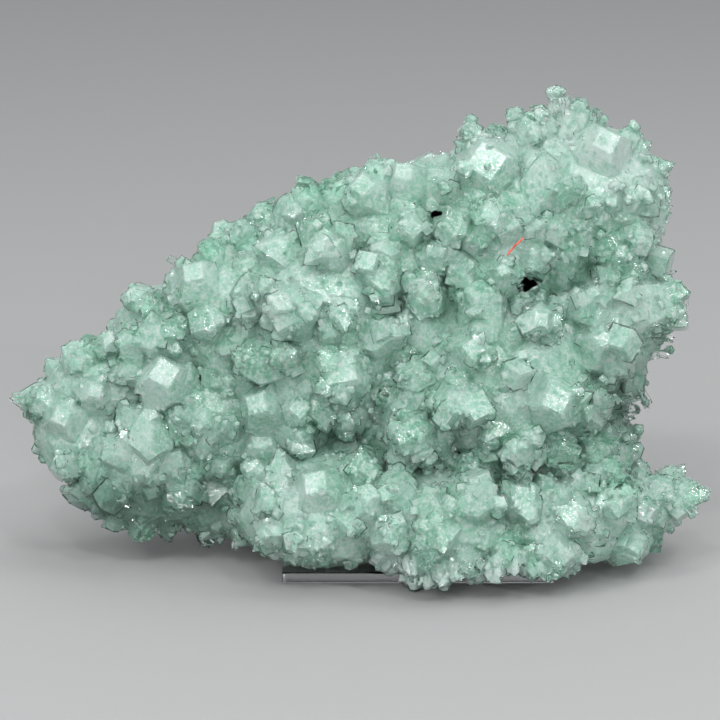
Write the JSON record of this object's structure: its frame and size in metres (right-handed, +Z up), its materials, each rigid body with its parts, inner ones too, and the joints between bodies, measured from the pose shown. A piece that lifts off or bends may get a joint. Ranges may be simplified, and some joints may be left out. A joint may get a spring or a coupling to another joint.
{
  "type": "apophyllite crystal cluster",
  "caption": "Intergrown cluster of pale green apophyllite crystals resting on a thin clear acrylic base plate, for display.",
  "frame": {"origin": "centre of the bounding box at the surface the specimen stands on", "axes": "+X along the cluster's longest side, left to right as shown; -Y towards the viewer; +Z up"},
  "size_m": [0.1804, 0.0848, 0.1218],
  "materials": {
    "apophyllite": "pale mint crystal, milky inside with clear glassy points",
    "clear_acrylic": "polished clear acrylic"
  },
  "bodies": {
    "root": {"crystal_cluster": "apophyllite", "acrylic_base": "clear_acrylic"}
  },
  "joints": []
}
